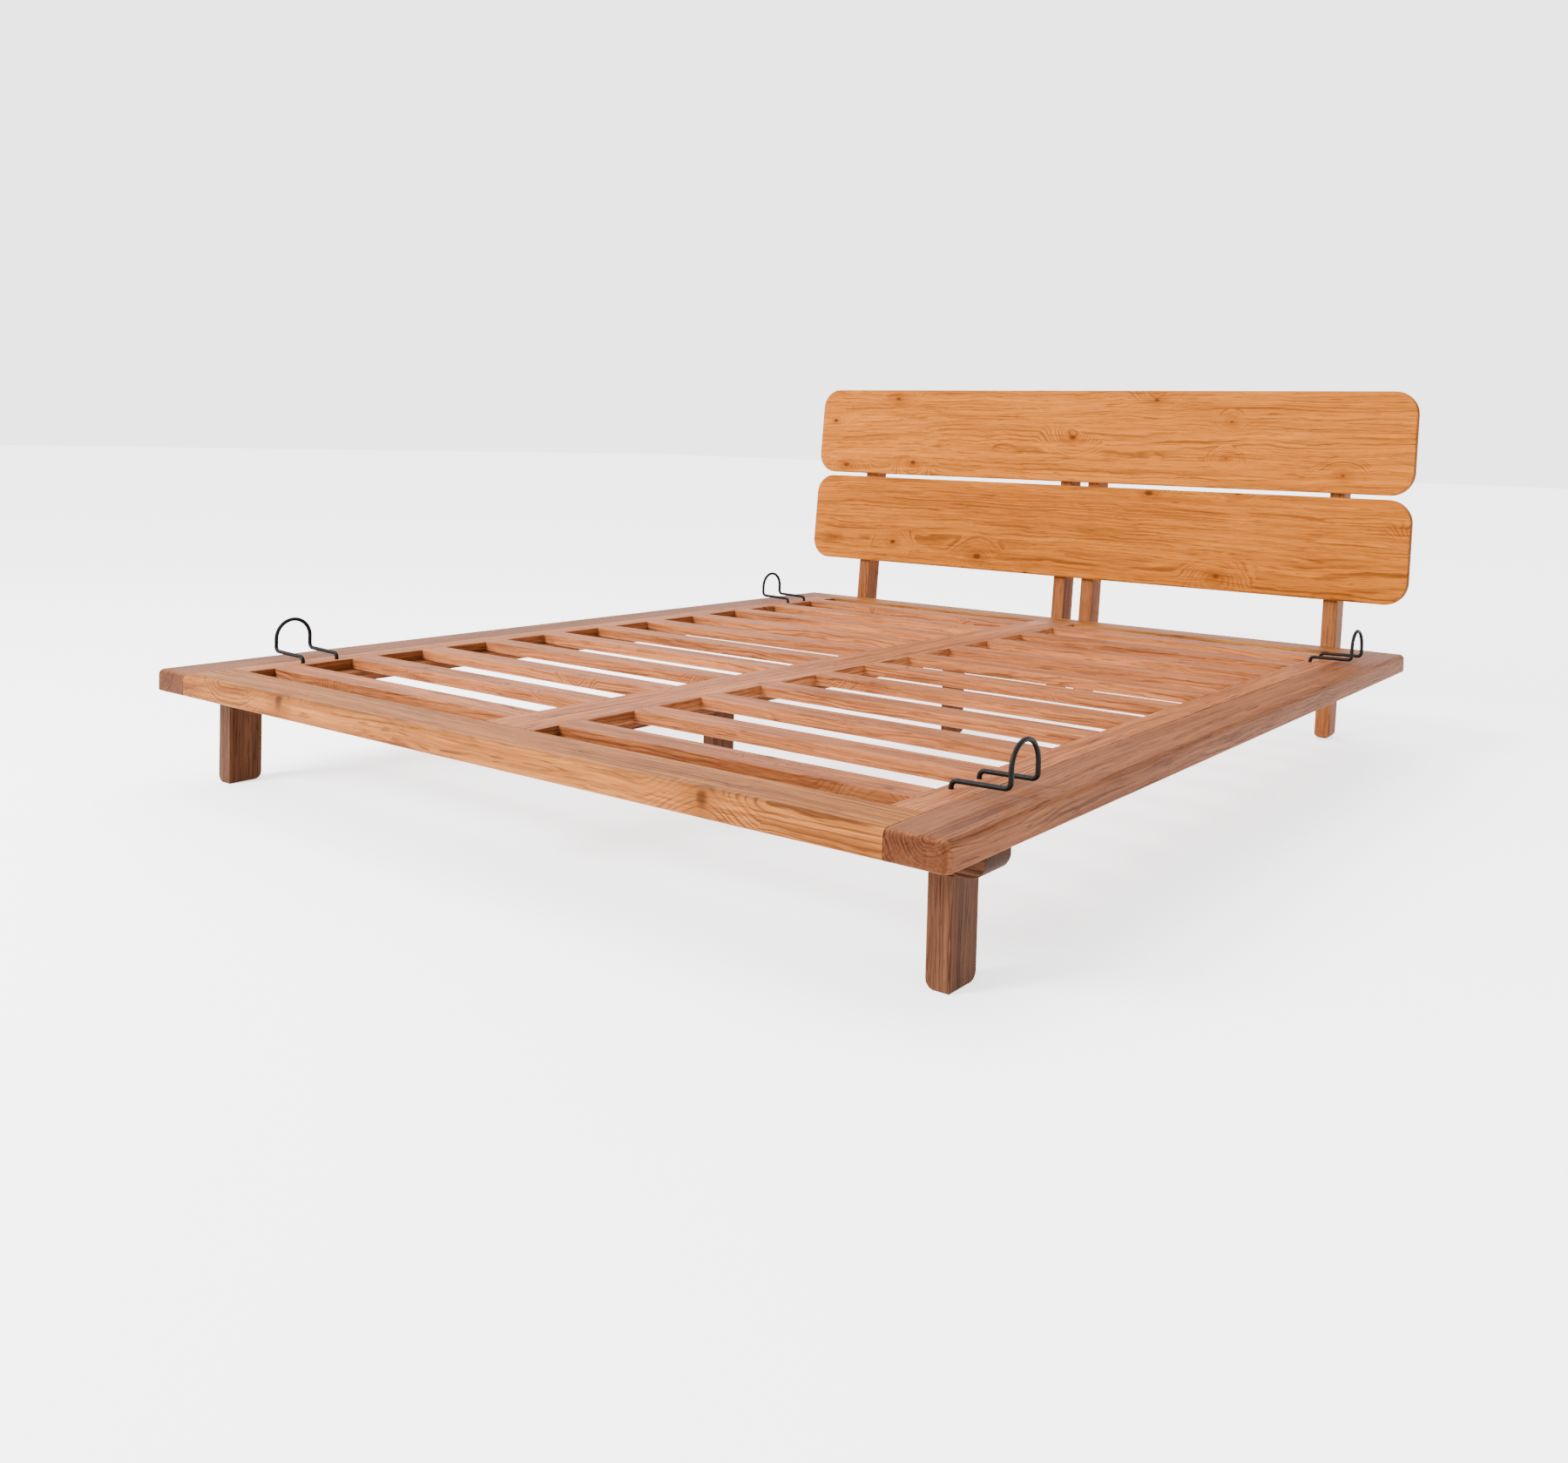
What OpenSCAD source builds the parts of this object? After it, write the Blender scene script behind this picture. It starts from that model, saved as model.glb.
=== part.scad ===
// Platform bed frame of solid teak with two drop-in slat panels, a headboard
// of two planks on four posts and four wire mattress retainers.
// Right is +X, the head end is +Y. The origin is on the floor, in the middle of
// the whole bed's footprint.

/* [Overall size] */
// Width of the frame
bed_w = 1900; // [1700:10:2100]
// Length of the frame, from the foot edge to the back of the head rail
bed_l = 2140; // [2060:10:2300]
// Height of the slats' top above the floor
deck_h = 240; // [220:5:320]

/* [Frame] */
// Width of the four rails, seen from above
rail_w = 100; // [90:5:110]
// Thickness of the four rails
rail_t = 44; // [40:1:50]
// Radius of the frame's corners, seen from above
corner_r = 12; // [8:1:60]
// Radius of the rails' outer top edge
edge_r = 11; // [4:1:14]

/* [Slat panels] */
// Number of slats in each panel
slat_count = 11; // [9:1:11]
// Width of a slat
slat_w = 62; // [55:1:70]
// Thickness of the slats and stiles
slat_t = 22; // [18:1:24]
// Width of a stile
stile_w = 60; // [55:1:70]
// Opening between an outermost slat and its end of the panel
end_gap = 56; // [30:1:60]

/* [Supports] */
// Width of the ledges that carry the panels' outer stiles
ledge_w = 100; // [80:5:120]
// Thickness of the front bearer
bearer_h = 34; // [32:1:46]
// Size of a front leg across the bed
leg_w = 40; // [36:1:50]
// Size of a front leg along the bed
leg_d = 70; // [60:1:80]
// Radius of the legs' lower edges
foot_r = 15; // [8:1:17]

/* [Headboard] */
// Angle by which the headboard leans back
lean = 5; // [2:0.5:8]
// Width of a plank
plank_w = 1900; // [1700:10:2000]
// Height of a plank
plank_h = 268; // [240:1:290]
// Thickness of a plank
plank_t = 22; // [20:1:26]
// Radius of a plank's corners
plank_r = 60; // [30:1:90]
// Opening between the two planks
plank_gap = 11; // [8:1:20]
// Distance from the slats' top up to the lower plank
plank_lift = 120; // [100:1:140]

/* [Mattress retainers] */
// Radius of the retainers' rod
rod_r = 4; // [3:0.5:4.5]
// Distance between a retainer's two legs
hoop_w = 78; // [70:1:90]
// Height of the rod's highest axis point above the slats
hoop_h = 80; // [70:1:100]
// Distance between the left and the right hoops, rod axis to rod axis
hoop_span = 1812; // [1790:1:1816]
// Distance between the foot-end and the head-end retainers
hoop_pitch = 1602; // [1500:1:1700]

/* [Hidden] */
$fn = 48;
fine_fn = 96;
overlap = 1;

// Frame
corner_low_r = 4;
inner_w = bed_w - 2 * rail_w;
inner_l = bed_l - 2 * rail_w;
frame_z = deck_h - rail_t;

// Headboard, measured along its slope from the point where it passes the slats' height
post_w = 38;
post_d = 58;
post_x = 752;
post_pair_x = 45;
post_drop = 60;
housing = 2;
board_h = plank_lift + 2 * plank_h + plank_gap;
post_top = board_h - post_drop;
post_below = 2 * deck_h;
foot_clear = 0.05;

// Footprint: the foot edge and the head edge, with the origin midway along the whole bed
overall_l = bed_l - housing + post_d * cos(lean) + post_top * sin(lean);
foot_y = -overall_l / 2;
head_y = foot_y + bed_l;
deck_y = foot_y + bed_l / 2;
post_y = head_y - housing;

// Slat panels
play = 1;
rest_gap = 0.5;
panel_x0 = play / 2;
panel_x1 = inner_w / 2 - play;
panel_l = inner_l - 2 * play;
panel_z = deck_h - slat_t;
slat_x0 = panel_x0 + stile_w;
slat_x1 = panel_x1 - stile_w;
slat_pitch = (panel_l - slat_w - 2 * end_gap) / (slat_count - 1);
slat_tenon = 22;
slat_tenon_w = 40;
slat_tenon_t = 10;
pin_r = 2;
pin_inset = 12;
pin_floor = 3;

// Ledges and centre beam
support_top = panel_z - rest_gap;
support_t = support_top - frame_z;
tongue = 12;
tongue_t = 9;
beam_w = 60;
beam_tenon = 20;
beam_tenon_t = 10;

// Front bearer and legs
bearer_w = leg_d;
bearer_y = foot_y + rail_w;
bearer_z = frame_z - bearer_h;
bearer_end = 5;
bearer_r = 26;
leg_inset = 55;
leg_x = bed_w / 2 - leg_inset - leg_w / 2;
leg_tenon = 25;
leg_tenon_w = 20;
leg_tenon_d = 44;
centre_leg_w = 30;
centre_leg_d = 60;
centre_leg_flat = 6;
centre_leg_y = 440;
centre_tenon = 14;
centre_tenon_w = 16;
centre_tenon_d = 36;

// Fixings
dowel_r = 6;
dowel_l = 70;
dowel_spread = 48;
bolt_r = 4;
bolt_head_r = 8;
bolt_head = 8;
bolt_sink = 14;
bolt_z = frame_z + rail_t / 2;
nut_r = 7;
nut_l = 30;
nut_depth = 40;
bolt_back_y = post_y - (deck_h - bolt_z) * tan(lean) + post_d / cos(lean);
bolt_seat_y = bolt_back_y - bolt_sink;
nut_y = head_y - nut_depth;
screw_r = 2.5;
screw_head_r = 5;
screw_head = 4;
screw_sink = 20;
screw_bite = 15;
screw_shares = [0.3, 0.7];
bearer_screw_bite = 28;
bearer_screw_spread = 36;
bearer_screw_out = 13;
bearer_screw_x = bed_w / 2 - leg_inset + bearer_screw_out;

// Mattress retainers
bend_r = 10;
hoop_x = hoop_span / 2;
hoop_r = hoop_w / 2;
rod_lift = 13;
peg_inset = 18;
peg_short = 2;
peg_x = panel_x1 - stile_w + peg_inset;
peg_depth = slat_t - peg_short;
peg_play = 0.5;

SIDES = [-1, 1];
ENDS = [-1, 1];

function side_name(side) = side < 0 ? "left" : "right";
function end_name(end) = end < 0 ? "foot" : "head";
function slat_name(side, i) = str("slat_", side_name(side), "_", i);
function retainer_name(side, end) = str("retainer_", side_name(side), "_", end_name(end));
function slat_y(i) = deck_y + (i - (slat_count + 1) / 2) * slat_pitch;
function retainer_y(end) = deck_y + end * hoop_pitch / 2;

// ---------- helpers ----------

// Draws the right-hand child on the chosen side
module on_side(side) {
    mirror([side < 0 ? 1 : 0, 0, 0]) children();
}

// Extrudes a (y, z) outline along X, from 0 to w
module extrude_x(w) {
    rotate([90, 0, 90]) linear_extrude(w) children();
}

// Extrudes an (x, z) outline along Y, from 0 to l
module extrude_y(l) {
    translate([0, l, 0]) rotate([90, 0, 0]) linear_extrude(l) children();
}

// A rod along Y, starting at 0
module rod_y(r, l) {
    rotate([-90, 0, 0]) cylinder(r = r, h = l);
}

// What a rounding of radius r takes off a corner
module corner_waste(r) {
    difference() {
        square(r + overlap);
        circle(r);
    }
}

// A w by h rectangle whose far side has a top radius and a lower radius
module rounded_side(w, h, top_r, low_r) {
    difference() {
        square([w, h]);
        translate([w - top_r, h - top_r]) corner_waste(top_r);
        translate([w - low_r, low_r]) mirror([0, 1]) corner_waste(low_r);
    }
}

// A w by h rectangle standing on 0, centred in x, with two rounded lower corners
module rounded_foot(w, h, r) {
    translate([-w / 2, r]) square([w, h - r]);
    translate([r - w / 2, 0]) square([w - 2 * r, h]);
    for (x = [r - w / 2, w / 2 - r])
        translate([x, r]) circle(r);
}

// The same, with only the left lower corner rounded
module part_rounded_foot(w, h, r) {
    translate([-w / 2, r]) square([w, h - r]);
    translate([r - w / 2, 0]) square([w - r, h]);
    translate([r - w / 2, r]) circle(r);
}

// Places its children where the headboard's front face passes the slats' height,
// with Z along the slope and Y through the thickness
module on_board() {
    translate([0, post_y, deck_h]) rotate([-lean, 0, 0]) children();
}

// ---------- frame ----------

// Places its children at the four corner joints, at the inner face of the side rail
module at_corners() {
    for (side = SIDES, y = [foot_y + rail_w / 2, head_y - rail_w / 2])
        translate([side * inner_w / 2, y, bolt_z]) children();
}

module corner_dowel_pair(r, l) {
    for (dy = [-dowel_spread / 2, dowel_spread / 2])
        translate([-l / 2, dy, 0]) rotate([0, 90, 0]) cylinder(r = r, h = l);
}

module corner_dowels() {
    color("tan") at_corners() corner_dowel_pair(dowel_r, dowel_l);
}

// Outline of the right side rail from above: only its two outer corners are round
module side_rail_plan() {
    x0 = inner_w / 2;
    r = corner_r;
    translate([x0, foot_y]) square([rail_w - r, bed_l]);
    translate([x0, foot_y + r]) square([rail_w, bed_l - 2 * r]);
    for (y = [foot_y + r, head_y - r])
        translate([bed_w / 2 - r, y]) circle(r, $fn = fine_fn);
}

// Side view of a side rail, with both ends rounded at the top and bottom
module side_rail_ends() {
    mid = bed_l / 2;
    for (end = ENDS)
        translate([deck_y, 0]) mirror([end < 0 ? 1 : 0, 0])
            rounded_side(mid, rail_t, edge_r, corner_low_r);
}

module side_rail(side) {
    color("peru") difference() {
        on_side(side) intersection() {
            translate([inner_w / 2, foot_y, frame_z]) extrude_y(bed_l)
                rounded_side(rail_w, rail_t, edge_r, corner_low_r);
            translate([0, 0, frame_z]) extrude_x(bed_w) side_rail_ends();
            translate([0, 0, frame_z]) linear_extrude(rail_t) side_rail_plan();
        }
        on_side(side) ledge_tongue();
        at_corners() corner_dowel_pair(dowel_r, dowel_l);
        bearer_screw_shanks();
    }
}

// A rail between the side rails, with its outer face at y = 0 and its length along X
module cross_rail_blank() {
    translate([-inner_w / 2, 0, 0]) extrude_x(inner_w) mirror([1, 0])
        translate([-rail_w, 0]) rounded_side(rail_w, rail_t, edge_r, corner_low_r);
}

module foot_rail() {
    color("sandybrown") difference() {
        translate([0, foot_y, frame_z]) cross_rail_blank();
        beam_blank();
        at_corners() corner_dowel_pair(dowel_r, dowel_l);
    }
}

module head_rail() {
    color("sandybrown") difference() {
        translate([0, head_y, frame_z]) mirror([0, 1, 0]) cross_rail_blank();
        beam_blank();
        at_corners() corner_dowel_pair(dowel_r, dowel_l);
        at_posts() post_bar();
        post_bolt_shanks();
        barrel_nut_blanks();
    }
}

// ---------- ledges and centre beam ----------

module ledge_tongue() {
    z = frame_z + (support_t - tongue_t) / 2;
    translate([inner_w / 2, foot_y + rail_w, z]) cube([tongue, inner_l, tongue_t]);
}

module ledge(side) {
    color("saddlebrown") on_side(side) {
        translate([inner_w / 2 - ledge_w, foot_y + rail_w, frame_z])
            cube([ledge_w, inner_l, support_t]);
        ledge_tongue();
    }
}

// The centre beam with its two end tenons, before the legs' mortises
module beam_blank() {
    translate([-beam_w / 2, foot_y + rail_w, frame_z]) cube([beam_w, inner_l, support_t]);
    translate([-beam_w / 2, foot_y + rail_w - beam_tenon, support_top - beam_tenon_t])
        cube([beam_w, inner_l + 2 * beam_tenon, beam_tenon_t]);
}

module centre_beam() {
    color("saddlebrown") difference() {
        beam_blank();
        for (end = ENDS) centre_leg_tenon(end);
    }
}

// ---------- bearer and legs ----------

module front_bearer() {
    half = bed_w / 2 - bearer_end;
    color("sienna") difference() {
        translate([0, bearer_y, bearer_z]) extrude_y(bearer_w)
            for (side = SIDES)
                mirror([side < 0 ? 1 : 0, 0]) rounded_side(half, bearer_h, corner_low_r, bearer_r);
        for (side = SIDES) on_side(side) front_leg_tenon();
        bearer_screw_shanks();
        bearer_screw_heads();
    }
}

module front_leg_tenon() {
    translate([leg_x - leg_tenon_w / 2, bearer_y + (leg_d - leg_tenon_d) / 2, bearer_z])
        cube([leg_tenon_w, leg_tenon_d, leg_tenon]);
}

// The two front legs are alike, not mirrored: the left and the back lower edges are rounded
module front_leg(side) {
    x = side * leg_x;
    color("sienna") {
        intersection() {
            translate([x, bearer_y, 0]) extrude_y(leg_d)
                part_rounded_foot(leg_w, bearer_z, foot_r);
            translate([x - leg_w / 2, bearer_y + leg_d / 2, 0]) extrude_x(leg_w)
                mirror([1, 0]) part_rounded_foot(leg_d, bearer_z, foot_r);
        }
        on_side(side) front_leg_tenon();
    }
}

module centre_leg_tenon(end) {
    translate([-centre_tenon_w / 2, deck_y + end * centre_leg_y - centre_tenon_d / 2, frame_z])
        cube([centre_tenon_w, centre_tenon_d, centre_tenon]);
}

module centre_leg(end) {
    y = deck_y + end * centre_leg_y;
    r = min(foot_r, (centre_leg_w - centre_leg_flat) / 2);
    color("sienna") {
        intersection() {
            translate([0, y - centre_leg_d / 2, 0]) extrude_y(centre_leg_d)
                rounded_foot(centre_leg_w, frame_z, r);
            translate([-centre_leg_w / 2, y, 0]) extrude_x(centre_leg_w)
                rounded_foot(centre_leg_d, frame_z, r);
        }
        centre_leg_tenon(end);
    }
}

// Four screws from under the bearer up into the side rails, outside the front legs
module at_bearer_screws() {
    for (side = SIDES, dy = [-bearer_screw_spread / 2, bearer_screw_spread / 2])
        translate([side * bearer_screw_x, bearer_y + bearer_w / 2 + dy, bearer_z])
            children();
}

module bearer_screw_shanks() {
    at_bearer_screws() cylinder(r = screw_r, h = bearer_h + bearer_screw_bite);
}

module bearer_screw_heads() {
    at_bearer_screws() cylinder(r = screw_head_r, h = screw_head);
}

module bearer_screws() {
    color("dimgray") {
        bearer_screw_shanks();
        bearer_screw_heads();
    }
}

// ---------- headboard ----------

module at_posts() {
    for (x = [-post_x, -post_pair_x, post_pair_x, post_x])
        translate([x, 0, 0]) children();
}

// A post's full bar, in the same tilted frame as the planks, running on below the floor
module post_bar() {
    on_board() translate([-post_w / 2, 0, -post_below]) cube([post_w, post_d, post_below + post_top]);
}

// Side view of what is left of a post at the floor: two rounded lower corners. Its sides
// stand a little clear of the bar's faces, and its top stands above the bar's.
module post_foot_side() {
    r = foot_r;
    clear = foot_clear / cos(lean);
    front_y = post_y - deck_h * tan(lean) - clear;
    back_y = front_y + post_d / cos(lean) + 2 * clear;
    front_c = front_y + r * (1 + sin(lean)) / cos(lean);
    back_c = back_y - r * (1 - sin(lean)) / cos(lean);
    rise = deck_h + board_h;
    polygon([
        [front_c, 0],
        [back_c, 0],
        [back_c + r * cos(lean), r - r * sin(lean)],
        [back_y + rise * tan(lean), rise],
        [front_y + rise * tan(lean), rise],
        [front_c - r * cos(lean), r + r * sin(lean)]
    ]);
    for (y = [front_c, back_c])
        translate([y, r]) circle(r);
}

module post(x) {
    color("chocolate") difference() {
        translate([x, 0, 0]) intersection() {
            post_bar();
            translate([-post_w, 0, 0]) extrude_x(2 * post_w) post_foot_side();
            translate([0, head_y - bed_l / 4, 0]) extrude_y(bed_l / 2)
                rounded_foot(post_w, deck_h + board_h, foot_r);
        }
        post_bolt_shanks();
        post_bolt_sockets();
        plank_screw_shanks();
        plank_screw_sockets();
    }
}

module plank_outline() {
    r = plank_r;
    translate([-plank_w / 2, r]) square([plank_w, plank_h - 2 * r]);
    translate([r - plank_w / 2, 0]) square([plank_w - 2 * r, plank_h]);
    for (x = [r - plank_w / 2, plank_w / 2 - r], z = [r, plank_h - r])
        translate([x, z]) circle(r, $fn = fine_fn);
}

// level is 0 for the lower plank and 1 for the upper one
module plank(level) {
    color("goldenrod") difference() {
        on_board() translate([0, -plank_t, plank_lift + level * (plank_h + plank_gap)])
            extrude_y(plank_t) plank_outline();
        plank_screw_shanks();
    }
}

// ---------- headboard fixings ----------

// One level bolt through each post into a barrel nut in the head rail
module post_bolt_shanks() {
    at_posts() translate([0, nut_y, bolt_z]) rod_y(bolt_r, bolt_seat_y - nut_y);
}

module post_bolt_sockets() {
    at_posts() translate([0, bolt_seat_y, bolt_z]) rod_y(bolt_head_r, 2 * bolt_sink);
}

module post_bolts() {
    color("dimgray") {
        post_bolt_shanks();
        at_posts() translate([0, bolt_seat_y, bolt_z]) rod_y(bolt_head_r, bolt_head);
    }
}

// The nuts stand upright in holes bored from under the head rail
module barrel_nut_blanks() {
    at_posts() translate([0, nut_y, frame_z]) cylinder(r = nut_r, h = nut_l);
}

module barrel_nuts() {
    color("silver") difference() {
        barrel_nut_blanks();
        post_bolt_shanks();
    }
}

module at_plank_screws() {
    for (level = [0, 1], share = screw_shares)
        at_posts() on_board()
            translate([0, 0, plank_lift + level * (plank_h + plank_gap) + share * plank_h])
                children();
}

module plank_screw_shanks() {
    at_plank_screws() translate([0, -screw_bite, 0])
        rod_y(screw_r, screw_bite + post_d - screw_sink);
}

module plank_screw_sockets() {
    at_plank_screws() translate([0, post_d - screw_sink, 0]) rod_y(screw_head_r, 2 * screw_sink);
}

module plank_screws() {
    color("dimgray") {
        plank_screw_shanks();
        at_plank_screws() translate([0, post_d - screw_sink, 0]) rod_y(screw_head_r, screw_head);
    }
}

// ---------- slat panels ----------

module slat_tenons(i, x0, x1) {
    translate([x0, slat_y(i) - slat_tenon_w / 2, panel_z + (slat_t - slat_tenon_t) / 2])
        cube([x1 - x0, slat_tenon_w, slat_tenon_t]);
}

module slat_shape(i) {
    translate([slat_x0, slat_y(i) - slat_w / 2, panel_z]) cube([slat_x1 - slat_x0, slat_w, slat_t]);
    slat_tenons(i, slat_x0 - slat_tenon, slat_x1 + slat_tenon);
}

module slat(side, i) {
    color("chocolate") on_side(side) difference() {
        slat_shape(i);
        slat_pin_set(i);
    }
}

// Two pins lock each slat's tenons, one through each stile
module slat_pin_set(i) {
    for (x = [slat_x0 - pin_inset, slat_x1 + pin_inset])
        translate([x, slat_y(i), panel_z + pin_floor])
            cylinder(r = pin_r, h = slat_t - pin_floor);
}

module slat_pins(side) {
    color("saddlebrown") on_side(side)
        for (i = [1:slat_count]) slat_pin_set(i);
}

module stile(side, x) {
    color("peru") on_side(side) difference() {
        translate([x, deck_y - panel_l / 2, panel_z]) cube([stile_w, panel_l, slat_t]);
        for (i = [1:slat_count]) {
            slat_tenons(i, slat_x0 - slat_tenon, slat_x1 + slat_tenon);
            slat_pin_set(i);
        }
        retainer_holes();
    }
}

// ---------- mattress retainers ----------

module retainer_holes() {
    for (end = ENDS, dy = [-hoop_r, hoop_r])
        translate([peg_x, retainer_y(end) + dy, panel_z - overlap])
            cylinder(r = rod_r + peg_play, h = slat_t + 2 * overlap);
}

module rod_section() {
    translate([bend_r, 0]) circle(rod_r);
}

// One leg of a retainer, from its peg in the stile to the foot of the hoop
module retainer_leg() {
    turn_z = deck_h + rod_lift;
    translate([peg_x, 0, deck_h - peg_depth]) cylinder(r = rod_r, h = peg_depth + rod_lift - bend_r);
    translate([peg_x + bend_r, 0, turn_z - bend_r]) rotate([90, 0, 0])
        rotate([0, 0, 90]) rotate_extrude(angle = 90) rod_section();
    translate([peg_x + bend_r, 0, turn_z]) rotate([0, 90, 0])
        cylinder(r = rod_r, h = hoop_x - peg_x - 2 * bend_r);
    translate([hoop_x - bend_r, 0, turn_z + bend_r]) rotate([90, 0, 0])
        rotate([0, 0, -90]) rotate_extrude(angle = 90) rod_section();
    translate([hoop_x, 0, turn_z + bend_r])
        cylinder(r = rod_r, h = hoop_h - hoop_r - rod_lift - bend_r);
}

module retainer(side, end) {
    color("darkslategray") on_side(side) translate([0, retainer_y(end), 0]) {
        for (dy = [-hoop_r, hoop_r])
            translate([0, dy, 0]) retainer_leg();
        translate([hoop_x, 0, deck_h + hoop_h - hoop_r]) rotate([90, 0, 90])
            rotate_extrude(angle = 180) translate([hoop_r, 0]) circle(rod_r);
    }
}

// ---------- assembly ----------

side_rail(-1);  // side_rail_left
side_rail(1);  // side_rail_right
foot_rail();
head_rail();
corner_dowels();
ledge(-1);  // ledge_left
ledge(1);  // ledge_right
centre_beam();
front_bearer();
front_leg(-1);  // front_leg_left
front_leg(1);  // front_leg_right
centre_leg(-1);  // centre_leg_foot
centre_leg(1);  // centre_leg_head
post(-post_x);  // post_left
post(-post_pair_x);  // post_centre_left
post(post_pair_x);  // post_centre_right
post(post_x);  // post_right
plank(0);  // plank_lower
plank(1);  // plank_upper
post_bolts();
barrel_nuts();
plank_screws();
bearer_screws();

for (side = SIDES) {
    stile(side, panel_x1 - stile_w);
    stile(side, panel_x0);
    slat_pins(side);
    for (i = [1:slat_count])
        slat(side, i);
    for (end = ENDS)
        retainer(side, end);
}
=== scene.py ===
import math
import random

import bmesh
import bpy
import numpy as np
from mathutils import Matrix, Vector


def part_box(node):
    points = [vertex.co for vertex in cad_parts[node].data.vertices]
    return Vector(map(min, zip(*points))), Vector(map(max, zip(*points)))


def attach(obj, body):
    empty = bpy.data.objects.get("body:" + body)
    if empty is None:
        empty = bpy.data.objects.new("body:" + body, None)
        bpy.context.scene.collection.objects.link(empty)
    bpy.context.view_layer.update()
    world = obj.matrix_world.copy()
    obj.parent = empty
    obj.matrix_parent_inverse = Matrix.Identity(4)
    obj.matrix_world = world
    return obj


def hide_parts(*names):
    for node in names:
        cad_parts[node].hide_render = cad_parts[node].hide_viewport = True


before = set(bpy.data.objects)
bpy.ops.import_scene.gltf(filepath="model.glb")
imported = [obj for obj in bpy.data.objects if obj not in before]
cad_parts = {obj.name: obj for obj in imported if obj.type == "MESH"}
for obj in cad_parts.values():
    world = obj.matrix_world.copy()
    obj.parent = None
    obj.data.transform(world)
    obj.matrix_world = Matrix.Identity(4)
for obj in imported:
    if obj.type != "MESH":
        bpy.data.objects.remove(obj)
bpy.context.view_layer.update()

MM = 0.001
LEAN = math.radians(5)
SIDES = ("left", "right")
ENDS = ("foot", "head")
rng = random.Random(20)


# ---------- node helpers ----------

class Tree:
    """Short calls for building a material's nodes."""

    def __init__(self, tree):
        self.tree = tree

    def put(self, socket, value):
        if isinstance(value, bpy.types.NodeSocket):
            self.tree.links.new(value, socket)
        elif value is not None:
            socket.default_value = value

    def node(self, kind, inputs=(), **props):
        n = self.tree.nodes.new(kind)
        for key, value in props.items():
            setattr(n, key, value)
        for key, value in dict(inputs).items():
            self.put(n.inputs[key], value)
        return n

    def math(self, op, a, b=None, c=None, clamp=False):
        inputs = {i: v for i, v in enumerate((a, b, c)) if v is not None}
        return self.node("ShaderNodeMath", inputs, operation=op, use_clamp=clamp).outputs[0]

    def vector(self, op, a, b=None, out=0):
        inputs = {i: v for i, v in enumerate((a, b)) if v is not None}
        return self.node("ShaderNodeVectorMath", inputs, operation=op).outputs[out]

    def attribute(self, name, out):
        return self.node("ShaderNodeAttribute", attribute_name=name).outputs[out]

    def split(self, vector):
        return self.node("ShaderNodeSeparateXYZ", {0: vector}).outputs

    def join(self, x, y, z):
        return self.node("ShaderNodeCombineXYZ", {0: x, 1: y, 2: z}).outputs[0]

    def noise(self, vector, stretch, detail=3.0, rough=0.55, out="Fac"):
        at = self.vector("MULTIPLY", vector, stretch)
        return self.node("ShaderNodeTexNoise", {"Vector": at, "Scale": 1.0, "Detail": detail,
                                                "Roughness": rough}).outputs[out]

    def remap(self, value, a, b, c=0.0, d=1.0, smooth=True):
        kind = "SMOOTHSTEP" if smooth else "LINEAR"
        return self.node("ShaderNodeMapRange", {0: value, 1: a, 2: b, 3: c, 4: d},
                         interpolation_type=kind).outputs[0]

    def mix(self, factor, a, b, blend="MIX"):
        return self.node("ShaderNodeMix", {0: factor, 6: a, 7: b}, data_type="RGBA",
                         blend_type=blend).outputs[2]

    def ramp(self, value, stops):
        n = self.node("ShaderNodeValToRGB", {0: value})
        while len(n.color_ramp.elements) < len(stops):
            n.color_ramp.elements.new(0.5)
        for element, (at, grey) in zip(n.color_ramp.elements, stops):
            element.position = at
            element.color = (grey, grey, grey, 1)
        return n.outputs[0]


def new_material(name):
    material = bpy.data.materials.new(name)
    material.use_nodes = True
    tree = material.node_tree
    shader = next(n for n in tree.nodes if n.type == "BSDF_PRINCIPLED")
    return material, Tree(tree), shader


def knot_field(t, local, board, share):
    """Distance in metres to the nearest knot centre, whether it is a knot, and its size."""
    x, y, z = t.split(local)
    cell_x, cell_y = 0.27, 0.105
    shifted = t.math("ADD", t.math("DIVIDE", x, cell_x), t.math("MULTIPLY", board, 37.0))
    across = t.math("ADD", y, t.math("MULTIPLY", z, 0.35))
    raised = t.math("ADD", t.math("DIVIDE", across, cell_y), t.math("MULTIPLY", board, 11.0))
    at = t.join(shifted, raised, 0.0)
    cells = t.node("ShaderNodeTexVoronoi", {"Vector": at, "Scale": 1.0, "Randomness": 0.9},
                   voronoi_dimensions="2D")
    dx, dy, _ = t.split(t.vector("SUBTRACT", at, cells.outputs["Position"]))
    wide = t.join(t.math("MULTIPLY", dx, cell_x / 1.7), t.math("MULTIPLY", dy, cell_y), 0.0)
    pick, size, _ = t.split(cells.outputs["Color"])
    return t.vector("LENGTH", wide, out=1), t.math("GREATER_THAN", pick, 1.0 - share), size


def tint(mean, red, green, blue):
    return (mean[0] * red, mean[1] * green, mean[2] * blue, 1)


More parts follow.
